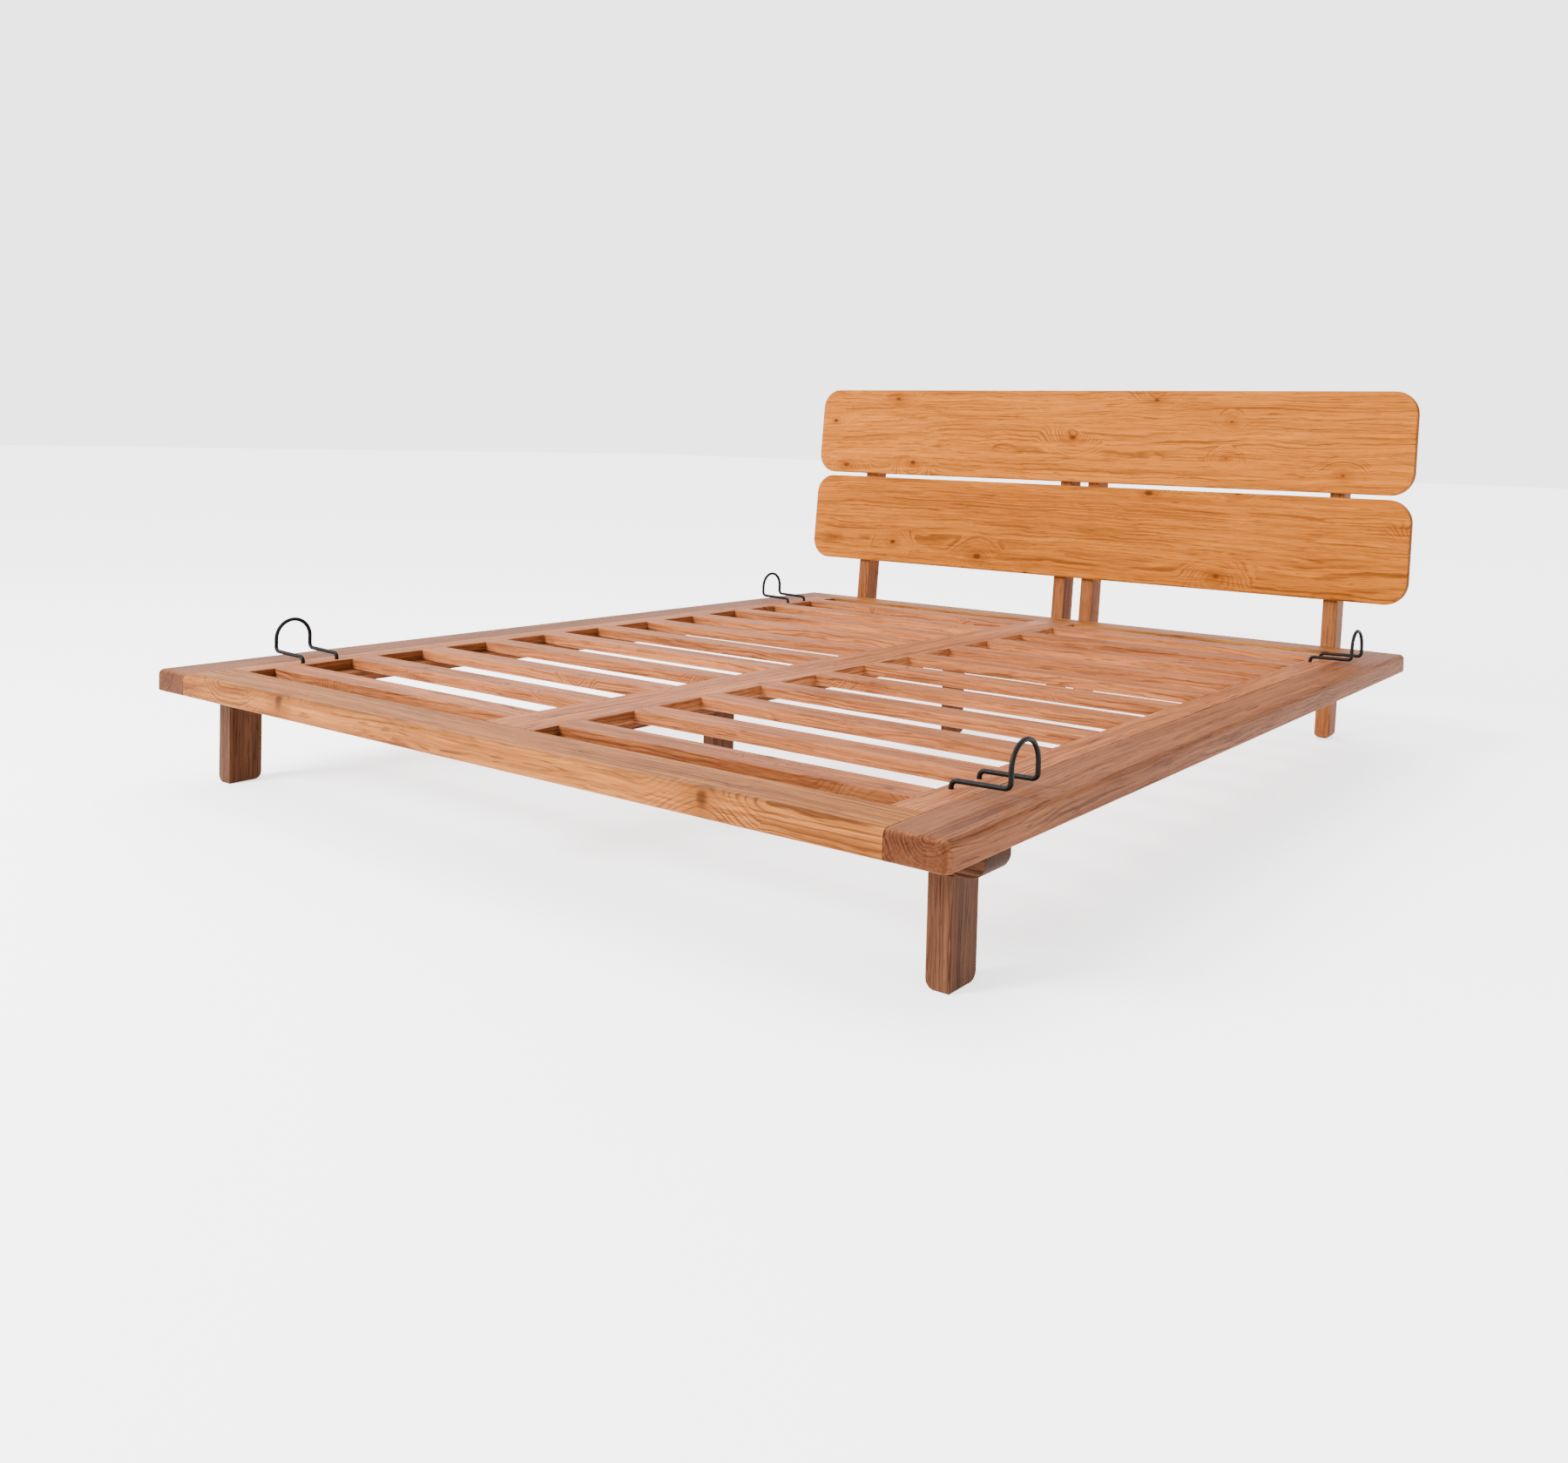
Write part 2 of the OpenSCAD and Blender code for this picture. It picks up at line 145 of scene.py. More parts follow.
def teak(name, mean, rings, knots, seed, contrast=1.0, broad=1.0):
    """Oiled wood. Every board carries its own grain space as attributes: grain (along X, with the heart of
    the tree on X), local (from the board's middle), half (its half size), axis (the way the grain runs, in
    the object's space) and board (a random value)."""
    material, t, shader = new_material(name)
    light, dark = tint(mean, 1.85, 2.15, 2.50), tint(mean, 0.50, 0.42, 0.42)
    line, deep = tint(mean, 0.22, 0.17, 0.20), tint(mean, 0.09, 0.07, 0.10)
    grain = t.vector("ADD", t.attribute("grain", "Vector"), (seed, 0.0, 0.0))
    local = t.attribute("local", "Vector")
    half = t.attribute("half", "Vector")
    board = t.attribute("board", "Fac")

    # Growth rings: distance from the heart, bent by slow wander and by the knots
    wander = t.vector("SUBTRACT", t.noise(grain, (1.3, 4.0, 4.0), 2.0, 0.5, "Color"), (0.5, 0.5, 0.5))
    fine = t.vector("SUBTRACT", t.noise(grain, (9.0, 30.0, 30.0), 2.0, 0.5, "Color"), (0.5, 0.5, 0.5))
    bent = t.vector("ADD", t.vector("MULTIPLY", wander, (0.0, 0.055, 0.055)),
                    t.vector("MULTIPLY", fine, (0.0, 0.010, 0.010)))
    _, gy, gz = t.split(t.vector("ADD", grain, bent))
    radius = t.math("SQRT", t.math("ADD", t.math("MULTIPLY", gy, gy), t.math("MULTIPLY", gz, gz)))
    knot_at, has_knot, knot_size = knot_field(t, local, board, knots)
    knot_at = t.math("ADD", knot_at, t.math("MULTIPLY", t.split(fine)[0], 0.012))
    knot_at = t.math("DIVIDE", knot_at, t.remap(knot_size, 0.0, 1.0, 0.45, 1.25, smooth=False))
    swirl = t.math("MULTIPLY", t.remap(knot_at, 0.0, 0.070, 0.055, 0.0), has_knot)
    ring_at = t.math("MULTIPLY", t.math("ADD", radius, swirl), rings)
    uneven = t.noise(t.join(ring_at, board, 0.0), (0.45, 9.0, 1.0), 2.0)
    ring_at = t.math("ADD", ring_at, t.math("MULTIPLY", uneven, 2.6))
    late_wood = ((0.0, 0.45), (0.07, 0.0), (0.60, 0.04), (0.90, 1.0), (1.0, 0.45))
    ring = t.ramp(t.math("FRACT", ring_at), late_wood)
    strength = t.remap(t.noise(grain, (2.4, 26.0, 26.0), 2.0), 0.38, 0.66, 0.10, 1.0)
    ring = t.math("MULTIPLY", ring, strength)

    # Fibres, pores and the slow change of colour through a board
    fibre = t.noise(grain, (7.0, 330.0, 330.0), 3.0, 0.6)
    streak = t.noise(t.vector("ADD", grain, bent), (1.5, 58.0, 58.0), 4.0, 0.62)
    cloud = t.noise(grain, (0.9, 15.0, 15.0), 3.0, 0.5)
    pores = t.remap(t.noise(grain, (34.0, 1100.0, 1100.0), 2.0, 0.5), 0.60, 0.74)
    dark_vein = t.remap(t.noise(t.vector("ADD", grain, bent), (1.2, 120.0, 120.0), 3.0, 0.6), 0.59, 0.70)

    flecks = t.remap(t.noise(t.vector("ADD", grain, bent), (12.0, 300.0, 300.0), 2.0, 0.5), 0.58, 0.68)

    band = t.noise(t.vector("ADD", grain, bent), (3.0, 190.0, 190.0), 3.0, 0.65)
    tone = t.math("ADD", t.math("MULTIPLY", t.remap(streak, 0.34, 0.64, 0.0, 1.0), 0.44 * contrast * broad),
                  t.math("MULTIPLY", t.remap(cloud, 0.34, 0.66, 0.0, 1.0), 0.30 * contrast * broad))
    tone = t.math("ADD", tone, t.math("MULTIPLY", t.remap(band, 0.34, 0.66, 0.0, 1.0), 0.34 * contrast))
    tone = t.math("ADD", tone, t.math("MULTIPLY", t.math("SUBTRACT", fibre, 0.5), 0.55 * contrast))
    tone = t.math("ADD", tone, t.math("MULTIPLY", t.math("SUBTRACT", board, 0.5), 0.16), clamp=True)
    colour = t.mix(tone, light, dark)
    colour = t.mix(t.math("MULTIPLY", ring, 0.80 * contrast), colour, line)
    colour = t.mix(t.math("MULTIPLY", dark_vein, 0.66 * contrast), colour, line)
    colour = t.mix(t.math("MULTIPLY", flecks, 0.55 * contrast), colour, line)
    colour = t.mix(t.math("MULTIPLY", pores, 0.45), colour, deep)

    # Knots: a dark core inside a warmer halo, the small ones the darkest
    core = t.math("MULTIPLY", t.remap(knot_at, 0.0020, 0.0090, 1.0, 0.0), has_knot)
    halo = t.math("MULTIPLY", t.remap(knot_at, 0.006, 0.034, 1.0, 0.0), has_knot)
    colour = t.mix(t.math("MULTIPLY", halo, 0.42), colour, dark)
    core_depth = t.remap(knot_size, 0.0, 1.0, 0.95, 0.66, smooth=False)
    colour = t.mix(t.math("MULTIPLY", core, core_depth), colour, deep)

    # Inside the board's own box: its ends drink more oil, and its edges are painted lighter, partly as rubbed
    # wear and partly as a painted highlight along the eased edges
    room = t.vector("SUBTRACT", half, t.vector("ABSOLUTE", local))
    rx, ry, rz = t.split(room)
    facing = t.vector("DOT_PRODUCT", t.node("ShaderNodeNewGeometry").outputs["Normal"],
                      t.attribute("axis", "Vector"), out=1)
    end = t.remap(t.math("ABSOLUTE", facing), 0.45, 0.95, 0.0, 1.0)
    colour = t.mix(t.math("MULTIPLY", end, 0.62), colour, line)
    colour = t.mix(t.math("MULTIPLY", t.math("MULTIPLY", end, ring), 0.8), colour, deep)
    least = t.math("MINIMUM", t.math("MINIMUM", rx, ry), rz)
    most = t.math("MAXIMUM", t.math("MAXIMUM", rx, ry), rz)
    total = t.math("ADD", t.math("ADD", rx, ry), rz)
    second = t.math("SUBTRACT", total, t.math("ADD", least, most))
    patchy = t.remap(t.noise(grain, (9.0, 60.0, 60.0), 2.0), 0.42, 0.66)
    # Rubbed wear plus painted highlight: a pale band within about 4 mm of each edge, in patches
    wear = t.math("MULTIPLY", t.remap(second, 0.0, 0.0042, 1.0, 0.0), patchy)
    colour = t.mix(t.math("MULTIPLY", wear, 0.42), colour, tint(mean, 1.7, 2.1, 2.8))
    t.put(shader.inputs["Base Color"], colour)

    rough = t.math("ADD", 0.47, t.math("MULTIPLY", streak, 0.16))
    rough = t.math("ADD", rough, t.math("MULTIPLY", pores, 0.14))
    rough = t.math("SUBTRACT", rough, t.math("MULTIPLY", wear, 0.06))
    t.put(shader.inputs["Roughness"], rough)
    shader.inputs["Specular IOR Level"].default_value = 0.05
    shader.inputs["Specular Tint"].default_value = (1.0, 0.74, 0.46, 1.0)
    height = t.math("ADD", t.math("MULTIPLY", fibre, 0.5), t.math("MULTIPLY", ring, -0.28))
    height = t.math("SUBTRACT", height, t.math("MULTIPLY", pores, 0.9))
    height = t.math("SUBTRACT", height, t.math("MULTIPLY", core, 0.8))
    bump = t.node("ShaderNodeBump", {"Height": height, "Strength": 0.35, "Distance": 0.0006})
    t.put(shader.inputs["Normal"], bump.outputs[0])
    return material


def worn_metal(name, base, bare, metallic, roughness, wear=0.10, shine=0.5):
    """Painted or plated metal: mottled, slightly lumpy, and rubbed through in small spots."""
    material, t, shader = new_material(name)
    scale = 260.0
    at = t.node("ShaderNodeTexCoord").outputs["Object"]
    mottle = t.noise(at, (scale, scale, scale), 4.0, 0.6)
    spots = t.remap(t.noise(at, (scale * 2.3,) * 3, 2.0, 0.5), 0.64, 0.72, 0.0, wear)
    shade = t.mix(mottle, (*[c * 0.75 for c in base], 1), (*[min(1.0, c * 1.3) for c in base], 1))
    t.put(shader.inputs["Base Color"], t.mix(spots, shade, (*bare, 1)))
    t.put(shader.inputs["Roughness"], t.remap(mottle, 0.25, 0.75, roughness - 0.08, roughness + 0.10))
    shader.inputs["Metallic"].default_value = metallic
    shader.inputs["Specular IOR Level"].default_value = shine
    bump = t.node("ShaderNodeBump", {"Height": mottle, "Strength": 0.25, "Distance": 0.0003})
    t.put(shader.inputs["Normal"], bump.outputs[0])
    return material


WOODS = {
    "headboard_teak": dict(mean=(0.220, 0.056, 0.0046), rings=130.0, knots=0.50, contrast=0.85, broad=0.62,
                           seed=3.0),
    "rail_teak": dict(mean=(0.168, 0.050, 0.0092), rings=120.0, knots=0.26, contrast=1.05, broad=0.7,
                      seed=11.0),
    "side_rail_teak": dict(mean=(0.111, 0.034, 0.0120), rings=170.0, knots=0.14, contrast=0.9, broad=0.5,
                           seed=17.0),
    "slat_teak": dict(mean=(0.203, 0.059, 0.0175), rings=170.0, knots=0.34, broad=0.7, seed=23.0),
    "post_teak": dict(mean=(0.131, 0.0385, 0.0112), rings=230.0, knots=0.10, contrast=0.8, broad=0.7,
                      seed=31.0),
    "leg_teak": dict(mean=(0.050, 0.0175, 0.0077), rings=230.0, knots=0.08, broad=0.55, seed=41.0),
    "support_teak": dict(mean=(0.120, 0.038, 0.0135), rings=210.0, knots=0.12, seed=53.0),
    "beech_dowel": dict(mean=(0.480, 0.330, 0.190), rings=300.0, knots=0.0, contrast=0.5, seed=61.0),
    "dark_pin": dict(mean=(0.050, 0.020, 0.010), rings=500.0, knots=0.0, seed=71.0),
}
MATERIALS = {name: teak(name, **look) for name, look in WOODS.items()}
MATERIALS["black_rod"] = worn_metal("black_rod", (0.0045, 0.0036, 0.0034), (0.040, 0.028, 0.022),
                                    0.0, 0.50, shine=0.10)
MATERIALS["zinc_steel"] = worn_metal("zinc_steel", (0.50, 0.51, 0.53), (0.30, 0.28, 0.25), 1.0, 0.36,
                                     wear=0.25)


# ---------- geometry helpers ----------

def box_mesh(lo, hi):
    bm = bmesh.new()
    bmesh.ops.create_cube(bm, size=1.0)
    lo, hi = Vector(lo), Vector(hi)
    for v in bm.verts:
        v.co = Vector((lo[i] + (v.co[i] + 0.5) * (hi[i] - lo[i]) for i in range(3)))
    return bm


def absorb(bm, part):
    """Moves part's mesh into bm."""
    scratch = bpy.data.meshes.new("scratch")
    part.to_mesh(scratch)
    part.free()
    bm.from_mesh(scratch)
    bpy.data.meshes.remove(scratch)


def aimed(bm, start, direction):
    """Turns bm's +Z to the direction and moves its origin to start."""
    turn = Vector(direction).to_track_quat("Z", "Y").to_matrix().to_4x4()
    bm.transform(Matrix.Translation(start) @ turn)
    return bm


def round_edges(bm, chosen, radius, segments):
    if chosen:
        bmesh.ops.bevel(bm, geom=chosen, offset=radius, offset_type="OFFSET", segments=segments,
                        profile=0.5, affect="EDGES", clamp_overlap=True)


def bevel(bm, pick, radius, segments):
    """Rounds the edges that pick(middle, direction) chooses."""
    chosen = []
    for e in bm.edges:
        run = (e.verts[1].co - e.verts[0].co).normalized()
        if pick((e.verts[0].co + e.verts[1].co) / 2, run):
            chosen.append(e)
    round_edges(bm, chosen, radius, segments)


def sharp_edges(bm, radius, segments, angle=50.0):
    """Eases every edge that is still sharper than the angle."""
    limit = math.radians(angle)
    chosen = [e for e in bm.edges if len(e.link_faces) == 2 and e.calc_face_angle(0) > limit]
    round_edges(bm, chosen, radius, segments)


def near(a, b):
    return abs(a - b) < 1e-5


def rod_mesh(radius, length, sides=24):
    """A closed cylinder from the origin along +Z."""
    bm = bmesh.new()
    bmesh.ops.create_cone(bm, cap_ends=True, segments=sides, radius1=radius, radius2=radius, depth=length)
    bmesh.ops.translate(bm, vec=(0, 0, length / 2), verts=bm.verts)
    return bm


def to_object(bm, name):
    mesh = bpy.data.meshes.new(name)
    bmesh.ops.recalc_face_normals(bm, faces=bm.faces)
    bm.to_mesh(mesh)
    bm.free()
    obj = bpy.data.objects.new(name, mesh)
    bpy.context.scene.collection.objects.link(obj)
    return obj


def drill(obj, cutters):
    """Cuts round holes: each cutter is (start, direction, radius, length)."""
    bm = bmesh.new()
    for start, direction, radius, length in cutters:
        absorb(bm, aimed(rod_mesh(radius, length), start, direction))
    tool = to_object(bm, "drill_tool")
    cut = obj.modifiers.new("holes", "BOOLEAN")
    cut.operation, cut.solver, cut.object = "DIFFERENCE", "EXACT", tool
    bpy.context.view_layer.update()
    ready = obj.evaluated_get(bpy.context.evaluated_depsgraph_get())
    mesh = bpy.data.meshes.new_from_object(ready)
    obj.modifiers.clear()
    obj.data = mesh
    bpy.data.objects.remove(tool)


def axes_of(grain, thick):
    ex, ez = Vector(grain).normalized(), Vector(thick).normalized()
    return ex, ez.cross(ex).normalized(), ez


def grain_attributes(obj, grain, thick, heart):
    """Writes the board's grain space onto its points. heart is how far the tree's heart lies from the
    board's middle, across and through it."""
    mesh = obj.data
    points = np.empty(len(mesh.vertices) * 3)
    mesh.vertices.foreach_get("co", points)
    axes = np.array([tuple(a) for a in axes_of(grain, thick)])
    local = points.reshape(-1, 3) @ axes.T
    lo, hi = local.min(axis=0), local.max(axis=0)
    local -= (lo + hi) / 2
    half = np.tile((hi - lo) / 2, (len(local), 1))
    value = rng.random()
    shift = np.array([rng.uniform(0, 60), heart[0] * rng.uniform(0.6, 1.4) * rng.choice((-1, 1)),
                      heart[1] * rng.uniform(0.7, 1.3) * rng.choice((-1, 1))])
    axis = np.tile(axes[0], (len(local), 1))
    for name, data in (("local", local), ("grain", local + shift), ("half", half), ("axis", axis)):
        mesh.attributes.new(name, "FLOAT_VECTOR", "POINT").data.foreach_set("vector", data.ravel())
    mesh.attributes.new("board", "FLOAT", "POINT").data.foreach_set("value", np.full(len(local), value))


def smooth(obj, angle=38.0):
    obj.data.polygons.foreach_set("use_smooth", [True] * len(obj.data.polygons))
    obj.data.set_sharp_from_angle(angle=math.radians(angle))
    weighted = obj.modifiers.new("even_shading", "WEIGHTED_NORMAL")
    weighted.keep_sharp = True


def place(obj, body, slot, *nodes, look=None):
    """Gives a finished piece its material, its body, and the CAD nodes that it stands for."""
    obj.data.materials.clear()
    obj.data.materials.append(MATERIALS[look or slot])
    smooth(obj)
    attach(obj, body)
    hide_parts(*nodes)


def board(bm, node, body, slot, grain, thick, heart=(0.05, 0.06), holes=(), look=None):
    obj = to_object(bm, "wood_" + node)
    if holes:
        drill(obj, holes)
    grain_attributes(obj, grain, thick, heart)
    place(obj, body, slot, node, look=look)


X, Y, Z = (1, 0, 0), (0, 1, 0), (0, 0, 1)


# ---------- frame ----------

CORNER_R, TOP_R, LOW_R = 12 * MM, 11 * MM, 4 * MM
RAIL_EASE, JOINT_EASE, JOINT_GAP = 0.9 * MM, 1.2 * MM, 0.5 * MM


def along(run, axis):
    return abs(run[axis]) > 0.99


def side_rail(side):
    node = "side_rail_" + side
    lo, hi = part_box(node)
    inner, outer = (hi.x, lo.x) if side == "left" else (lo.x, hi.x)
    bm = box_mesh(lo, hi)
    bevel(bm, lambda m, r: along(r, 2) and near(m.x, outer), CORNER_R, 10)
    bevel(bm, lambda m, r: near(m.z, hi.z) and not near(m.x, inner), TOP_R, 6)
    bevel(bm, lambda m, r: near(m.z, lo.z) and not near(m.x, inner), LOW_R, 3)
    sharp_edges(bm, RAIL_EASE, 2)
    board(bm, node, "frame", "rail_teak", Y, Z, (0.03, 0.035), look="side_rail_teak")


def cross_rail(node, outer_is_low):
    """A rail between the side rails, a hair short of them so that the joint shows as a line."""
    lo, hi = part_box(node)
    outer = lo.y if outer_is_low else hi.y
    gap = Vector((JOINT_GAP, 0, 0))
    bm = box_mesh(lo + gap, hi - gap)
    bevel(bm, lambda m, r: along(r, 0) and near(m.z, hi.z) and near(m.y, outer), TOP_R, 6)
    bevel(bm, lambda m, r: along(r, 0) and near(m.z, lo.z) and near(m.y, outer), LOW_R, 3)
    sharp_edges(bm, JOINT_EASE, 2)
    board(bm, node, "frame", "rail_teak", X, Z, (0.05, 0.07))


for side in SIDES:
    side_rail(side)
cross_rail("foot_rail", True)
cross_rail("head_rail", False)


# ---------- ledges and centre beam ----------

TONGUE, BEAM_TENON, SUPPORT_EASE = 12 * MM, 20 * MM, 1.5 * MM


def support(node, trim_lo, trim_hi):
    """A board along Y without its hidden tongue or tenons, which the two trims take off its box."""
    lo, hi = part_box(node)
    bm = box_mesh(lo + Vector(trim_lo), hi - Vector(trim_hi))
    sharp_edges(bm, SUPPORT_EASE, 2)
    board(bm, node, "frame", "support_teak", Y, Z)


support("ledge_left", (TONGUE, 0, 0), (0, 0, 0))
support("ledge_right", (0, 0, 0), (TONGUE, 0, 0))
support("centre_beam", (0, BEAM_TENON, 0), (0, BEAM_TENON, 0))


# ---------- bearer and legs ----------

BEARER_R, BEARER_EASE = 26 * MM, 2.5 * MM
FOOT_R, CENTRE_FOOT_R, POST_FOOT_R, LEG_EASE = 15 * MM, 12 * MM, 14 * MM, 2.2 * MM

lo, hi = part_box("front_bearer")
bearer = box_mesh(lo, hi)
bevel(bearer, lambda m, r: along(r, 1) and near(m.z, lo.z), BEARER_R, 12)
sharp_edges(bearer, BEARER_EASE, 3)
board(bearer, "front_bearer", "frame", "leg_teak", X, Z)


def leg(node, top, radius, rounded):
    """A leg up to the given height. rounded picks the lower edges that are rounded off."""
    lo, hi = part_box(node)
    hi = Vector((hi.x, hi.y, top))
    bm = box_mesh(lo, hi)
    bevel(bm, lambda m, r: near(m.z, lo.z) and rounded(m, lo, hi), radius, 8)
    sharp_edges(bm, LEG_EASE, 3)
    board(bm, node, "frame", "leg_teak", Z, Y, (0.03, 0.05))


bearer_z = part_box("front_bearer")[0].z
frame_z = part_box("foot_rail")[0].z
for side in SIDES:
    leg("front_leg_" + side, bearer_z, FOOT_R, lambda m, lo, hi: near(m.x, lo.x) or near(m.y, hi.y))
for end in ENDS:
    leg("centre_leg_" + end, frame_z, CENTRE_FOOT_R, lambda m, lo, hi: True)


# ---------- headboard ----------

POST_W, POST_D, HOUSING = 38 * MM, 58 * MM, 2 * MM
PLANK_W, PLANK_H, PLANK_T, PLANK_GAP, PLANK_LIFT = 1900 * MM, 268 * MM, 22 * MM, 11 * MM, 120 * MM
PLANK_R, PLANK_EASE = 60 * MM, 5.5 * MM
BOLT_HEAD_R, BOLT_HEAD, SCREW_HEAD_R, SCREW_SINK, BORE_L = 8 * MM, 8 * MM, 5 * MM, 20 * MM, 40 * MM
POST_X = {"post_left": -752 * MM, "post_centre_left": -45 * MM,
          "post_centre_right": 45 * MM, "post_right": 752 * MM}
deck_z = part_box("foot_rail")[1].z
post_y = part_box("head_rail")[1].y - HOUSING
slope = Matrix.Translation((0, post_y, deck_z)) @ Matrix.Rotation(-LEAN, 4, "X")
up_slope = (0, math.sin(LEAN), math.cos(LEAN))
out_back = (0, math.cos(LEAN), -math.sin(LEAN))
bolt_z = (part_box("head_rail")[0].z + deck_z) / 2
bolt_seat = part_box("post_bolts")[1].y - BOLT_HEAD
SCREW_RISE = [PLANK_LIFT + level * (PLANK_H + PLANK_GAP) + share * PLANK_H
              for level in (0, 1) for share in (0.3, 0.7)]
SCREW_SEAT = POST_D - SCREW_SINK


def post(node):
    """A leaning post that stands flat on the floor, with its bolt and screw holes at the back."""
    x = POST_X[node]
    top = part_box(node)[1].z
    depth = POST_D / math.cos(LEAN)
    bm = box_mesh((x - POST_W / 2, 0, 0), (x + POST_W / 2, 1, 1))
    for v in bm.verts:
        level = 1 if v.co.z > 0.5 else 0
        back = v.co.y > 0.5
        drop = POST_D * math.sin(LEAN) if level and back else 0.0
        z = top - drop if level else 0.0
        y = post_y + (z - deck_z) * math.tan(LEAN) + (depth if back else 0.0)
        v.co = Vector((v.co.x, y, z))
    bevel(bm, lambda m, r: near(m.z, 0.0), POST_FOOT_R, 8)
    sharp_edges(bm, LEG_EASE, 3, 40.0)
    holes = [((x, bolt_seat, bolt_z), Y, BOLT_HEAD_R, BORE_L)]
    for rise in SCREW_RISE:
        start = slope @ Vector((x, SCREW_SEAT, rise))
        holes.append((start, out_back, SCREW_HEAD_R, BORE_L))
    board(bm, node, "frame", "post_teak", up_slope, out_back, (0.04, 0.05), holes)


for node in POST_X:
    post(node)


def plank(node, level):
    base = PLANK_LIFT + level * (PLANK_H + PLANK_GAP)
    bm = box_mesh((-PLANK_W / 2, -PLANK_T, base), (PLANK_W / 2, 0, base + PLANK_H))
    bevel(bm, lambda m, r: along(r, 1), PLANK_R, 24)
    sharp_edges(bm, PLANK_EASE, 5)
    bm.transform(slope)
    board(bm, node, "frame", "headboard_teak", X, out_back, (0.07, 0.075))


plank("plank_lower", 0)
plank("plank_upper", 1)


# ---------- slat panels ----------

SLATS = range(1, 12)
SLAT_R, SLAT_EASE, STILE_EASE = 2.2 * MM, 0.7 * MM, 0.9 * MM
PEG_X, PEG_HOLE_R, PEG_HOLE_DEEPER, PEG_HOLE_L = 807 * MM, 4.5 * MM, 5 * MM, 30 * MM
PIN_R, PIN_L, PIN_SUNK, PIN_INSET = 2 * MM, 3.1 * MM, 3 * MM, 12 * MM
HOOP_W = 78 * MM
retainer_y = {end: sum(c.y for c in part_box("retainer_right_" + end)) / 2 for end in ENDS}

for side in SIDES:
    body = "slat_panel_" + side
    mirror = -1 if side == "left" else 1
    for kind in ("outer", "inner"):
        node = f"{kind}_stile_{side}"
        lo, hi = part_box(node)
        bm = box_mesh(lo, hi)
        sharp_edges(bm, STILE_EASE, 2)
        holes = []
        if kind == "outer":
            starts = [(mirror * PEG_X, retainer_y[end] + dy, lo.z - PEG_HOLE_DEEPER)
                      for end in ENDS for dy in (-HOOP_W / 2, HOOP_W / 2)]
            holes = [(start, Z, PEG_HOLE_R, PEG_HOLE_L) for start in starts]
        board(bm, node, body, "slat_teak", Y, Z, (0.05, 0.06), holes)
    stiles = [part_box(f"{kind}_stile_{side}") for kind in ("outer", "inner")]
    x0 = min(box[1].x for box in stiles)
    x1 = max(box[0].x for box in stiles)
    for i in SLATS:
        node = f"slat_{side}_{i}"
        lo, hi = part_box(node)
        bm = box_mesh((x0, lo.y, lo.z), (x1, hi.y, hi.z))
        bevel(bm, lambda m, r: along(r, 0), SLAT_R, 3)
        sharp_edges(bm, SLAT_EASE, 2)
        board(bm, node, body, "slat_teak", X, Z, (0.05, 0.06))

    # Pin ends, standing a hair proud of the stiles
    node = f"slat_pins_{side}"
    bm = bmesh.new()
    pin_x = [x0 - PIN_INSET, x1 + PIN_INSET]
    for i in SLATS:
        lo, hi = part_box(f"slat_{side}_{i}")
        for x in pin_x:
            dot = rod_mesh(PIN_R, PIN_L, 14)
            dot.transform(Matrix.Translation((x, (lo.y + hi.y) / 2, hi.z - PIN_SUNK)))
            sharp_edges(dot, 0.35 * MM, 2)
            absorb(bm, dot)
    pins = to_object(bm, "wood_" + node)
    grain_attributes(pins, Z, Y, (0.01, 0.01))
    place(pins, body, "dark_pin", node)


# ---------- mattress retainers ----------

def arc(centre, start, end, steps):
    """Points on the turn from start to end about centre, both given as offsets of one length."""
    a, b = Vector(start), Vector(end)
    whole = a.angle(b)
    out = []
    for k in range(steps + 1):
        f = k / steps
        turned = (a * math.sin((1 - f) * whole) + b * math.sin(f * whole)) / math.sin(whole)
        out.append(Vector(centre) + turned)
    return out


def sweep(points, radius, sides=16):
    """A round rod along the points, with flat ends."""
    bm = bmesh.new()
    tangents = [(points[min(i + 1, len(points) - 1)] - points[max(i - 1, 0)]).normalized()
                for i in range(len(points))]
    normal = tangents[0].orthogonal().normalized()
    loops = []
    for i, (p, tangent) in enumerate(zip(points, tangents)):
        if i:
            normal = (tangents[i - 1].rotation_difference(tangent) @ normal).normalized()
        side = tangent.cross(normal)
        loops.append([bm.verts.new(p + radius * (math.cos(a) * normal + math.sin(a) * side))
                      for a in (2 * math.pi * k / sides for k in range(sides))])
    for one, two in zip(loops, loops[1:]):
        for k in range(sides):
            bm.faces.new((one[k], one[(k + 1) % sides], two[(k + 1) % sides], two[k]))
    bm.faces.new(loops[0][::-1])
    bm.faces.new(loops[-1])
    return bm


ROD_R, BEND_R, ROD_LIFT, ROD_RISE = 4 * MM, 10 * MM, 13 * MM, 2 * MM


def retainer(side, end):
    """A hoop on two bent legs, drawn on the right and mirrored for the left."""
    node = f"retainer_{side}_{end}"
    lo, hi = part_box(node)
    out = max(abs(lo.x), abs(hi.x)) - ROD_R
    top = hi.z - ROD_R
    r = HOOP_W / 2
    low = deck_z + ROD_LIFT

    def leg_points(dy):
        return ([Vector((PEG_X, dy, lo.z)), Vector((PEG_X, dy, low - BEND_R))]
                + arc((PEG_X + BEND_R, dy, low - BEND_R), (-BEND_R, 0, 0), (0, 0, BEND_R), 8)[1:]
                + arc((out - BEND_R, dy, low + ROD_RISE + BEND_R), (0, 0, -BEND_R), (BEND_R, 0, 0), 8))

    hoop = [Vector((out, -r * math.cos(a), top - r + r * math.sin(a)))
            for a in (math.pi * k / 32 for k in range(33))]
    points = leg_points(-r) + hoop + leg_points(r)[::-1]
    bm = sweep(points, ROD_R)
    turn = Matrix.Diagonal((-1 if side == "left" else 1, 1, 1, 1))
    bm.transform(Matrix.Translation((0, retainer_y[end], 0)) @ turn)
    obj = to_object(bm, "rod_" + node)
    place(obj, node, "black_rod", node)


for side in SIDES:
    for end in ENDS:
        retainer(side, end)


